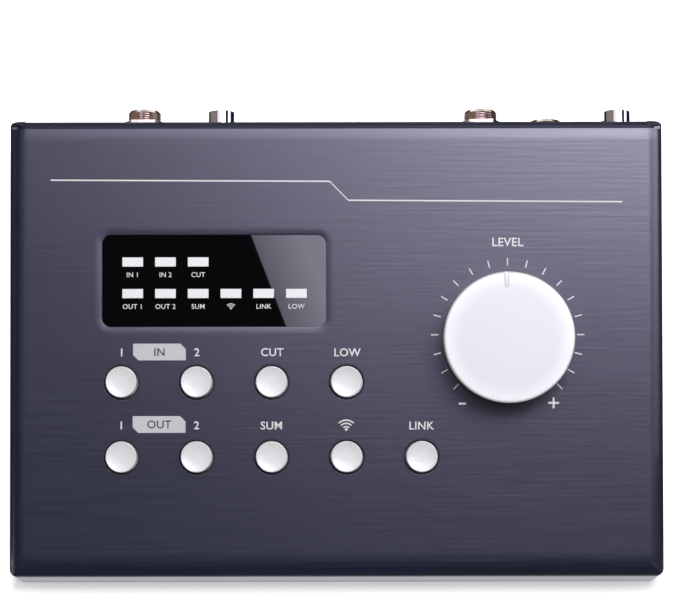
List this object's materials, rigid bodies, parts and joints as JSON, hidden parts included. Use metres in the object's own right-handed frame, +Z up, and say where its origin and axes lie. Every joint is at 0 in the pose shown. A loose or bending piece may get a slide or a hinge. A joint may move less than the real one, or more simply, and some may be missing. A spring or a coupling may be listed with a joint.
{
  "type": "studio monitor controller",
  "caption": "Wedge-shaped desktop audio controller with a large volume knob, round push buttons, an indicator window and rear sockets.",
  "frame": {"origin": "middle of the object's box, on the desk plane under the feet", "axes": "+X to the user's right, +Y to the rear wall, +Z up"},
  "size_m": [0.2124, 0.1508, 0.0582],
  "materials": {
    "cover_paint": "satin metallic slate blue paint",
    "tray_paint": "satin dark slate paint",
    "foot_rubber": "moulded rubber",
    "black_screw": "blackened steel",
    "plated_screw": "bright zinc plate",
    "window_gloss": "polished black acrylic",
    "guide_white": "white",
    "led_body": "clear over phosphor",
    "board_laminate": "solder resist",
    "plated_steel": "nickel plated",
    "black_moulding": "moulded",
    "pot_can": "tinned",
    "button_silver": "satin",
    "stem_nylon": "moulded",
    "knob_aluminium": "bead blasted satin",
    "nickel": "bright nickel",
    "chrome_shell": "bright",
    "phono_ring": "moulded",
    "switch_gloss": "moulded",
    "module_shield": "tinned shield",
    "relay_case": "moulded",
    "capacitor_can": "sleeved",
    "ribbon_grey": "extruded"
  },
  "bodies": {
    "case": {"top_cover": "cover_paint", "chassis_tray": "tray_paint", "side_screws": "black_screw", "foot_front_left": "foot_rubber", "foot_front_right": "foot_rubber", "foot_rear_left": "foot_rubber", "foot_rear_right": "foot_rubber", "foot_screws": "plated_screw", "window_lens": "window_gloss", "light_guide": "guide_white", "indicator_leds": "led_body", "control_board": "board_laminate", "control_board_spacers": "plated_steel", "control_board_screws": "plated_screw", "button_guide": "black_moulding", "switch_bodies": "black_moulding", "pot_body": "pot_can", "pot_washer": "plated_steel", "pot_nut": "plated_steel", "jack_housings": "black_moulding", "jack_bushes": "nickel", "jack_washers": "plated_steel", "jack_nuts": "nickel", "phono_housings": "black_moulding", "phono_shells": "chrome_shell", "phono_insulators": "phono_ring", "dc_socket": "black_moulding", "dc_pin": "chrome_shell", "power_switch_frame": "switch_gloss", "main_board": "board_laminate", "main_board_standoffs": "plated_steel", "main_board_screws": "plated_screw", "wireless_module": "module_shield", "relays": "relay_case", "capacitors": "capacitor_can", "ribbon_cable": "ribbon_grey", "ribbon_sockets": "black_moulding"},
    "knob": {"volume_knob": "knob_aluminium", "knob_pointer": "guide_white", "knob_grub_screw": "plated_screw", "pot_shaft": "plated_steel"},
    "rocker": {"power_rocker": "switch_gloss"},
    "button_in_1": {"button_in_1": "button_silver", "stem_in_1": "stem_nylon"},
    "button_in_2": {"button_in_2": "button_silver", "stem_in_2": "stem_nylon"},
    "button_cut": {"button_cut": "button_silver", "stem_cut": "stem_nylon"},
    "button_low": {"button_low": "button_silver", "stem_low": "stem_nylon"},
    "button_out_1": {"button_out_1": "button_silver", "stem_out_1": "stem_nylon"},
    "button_out_2": {"button_out_2": "button_silver", "stem_out_2": "stem_nylon"},
    "button_sum": {"button_sum": "button_silver", "stem_sum": "stem_nylon"},
    "button_wireless": {"button_wireless": "button_silver", "stem_wireless": "stem_nylon"},
    "button_link": {"button_link": "button_silver", "stem_link": "stem_nylon"}
  },
  "joints": [
    {"name": "volume_turn", "type": "hinge", "parent": "case", "child": "knob", "pos_m": [0.0546, -0.00002, 0.03926], "axis": [0, -0.1219, 0.9925], "range_deg": [-137.7, 132.3]},
    {"name": "press_in_1", "type": "slide", "parent": "case", "child": "button_in_1", "axis": [0, 0.1219, -0.9925], "range_m": [0, 0.001], "stiffness_N_per_m": 800, "springref_m": -0.0008},
    {"name": "press_in_2", "type": "slide", "parent": "case", "child": "button_in_2", "axis": [0, 0.1219, -0.9925], "range_m": [0, 0.001], "stiffness_N_per_m": 800, "springref_m": -0.0008},
    {"name": "press_cut", "type": "slide", "parent": "case", "child": "button_cut", "axis": [0, 0.1219, -0.9925], "range_m": [0, 0.001], "stiffness_N_per_m": 800, "springref_m": -0.0008},
    {"name": "press_low", "type": "slide", "parent": "case", "child": "button_low", "axis": [0, 0.1219, -0.9925], "range_m": [0, 0.001], "stiffness_N_per_m": 800, "springref_m": -0.0008},
    {"name": "press_out_1", "type": "slide", "parent": "case", "child": "button_out_1", "axis": [0, 0.1219, -0.9925], "range_m": [0, 0.001], "stiffness_N_per_m": 800, "springref_m": -0.0008},
    {"name": "press_out_2", "type": "slide", "parent": "case", "child": "button_out_2", "axis": [0, 0.1219, -0.9925], "range_m": [0, 0.001], "stiffness_N_per_m": 800, "springref_m": -0.0008},
    {"name": "press_sum", "type": "slide", "parent": "case", "child": "button_sum", "axis": [0, 0.1219, -0.9925], "range_m": [0, 0.001], "stiffness_N_per_m": 800, "springref_m": -0.0008},
    {"name": "press_wireless", "type": "slide", "parent": "case", "child": "button_wireless", "axis": [0, 0.1219, -0.9925], "range_m": [0, 0.001], "stiffness_N_per_m": 800, "springref_m": -0.0008},
    {"name": "press_link", "type": "slide", "parent": "case", "child": "button_link", "axis": [0, 0.1219, -0.9925], "range_m": [0, 0.001], "stiffness_N_per_m": 800, "springref_m": -0.0008},
    {"name": "power_rock", "type": "hinge", "parent": "case", "child": "rocker", "pos_m": [0.014, 0.0672, 0.027], "axis": [0, 0, 1], "range_deg": [0, 18]}
  ]
}
